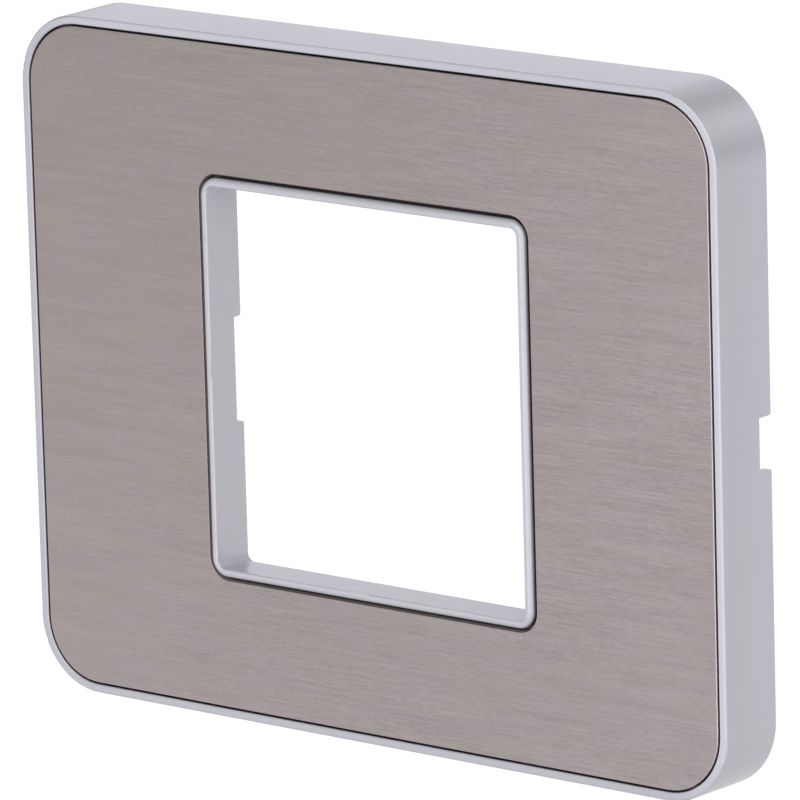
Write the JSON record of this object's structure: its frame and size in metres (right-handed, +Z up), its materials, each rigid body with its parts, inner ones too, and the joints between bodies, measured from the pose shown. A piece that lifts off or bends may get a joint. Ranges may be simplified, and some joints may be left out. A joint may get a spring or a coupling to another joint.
{
  "type": "switch plate",
  "caption": "Wide one-gang cover frame with a square opening for a wiring device: a silver moulded surround with a rounded rim and collar, holding a brushed metal face plate in its tray.",
  "frame": {"origin": "centre of the device opening, in the plane of the wall", "axes": "+Z up, +X to the right as seen from the room, +Y into the wall; the front faces -Y"},
  "size_m": [0.1016, 0.0094, 0.0816],
  "materials": {
    "silver_moulding": "silver lilac paint on a moulded plastic, satin",
    "brushed_plate": "fine brushing along the long side, warm grey",
    "black_film": "thin black double-sided film"
  },
  "bodies": {
    "root": {"base_frame": "silver_moulding", "face_plate": "brushed_plate", "bonding_film": "black_film"}
  },
  "joints": []
}
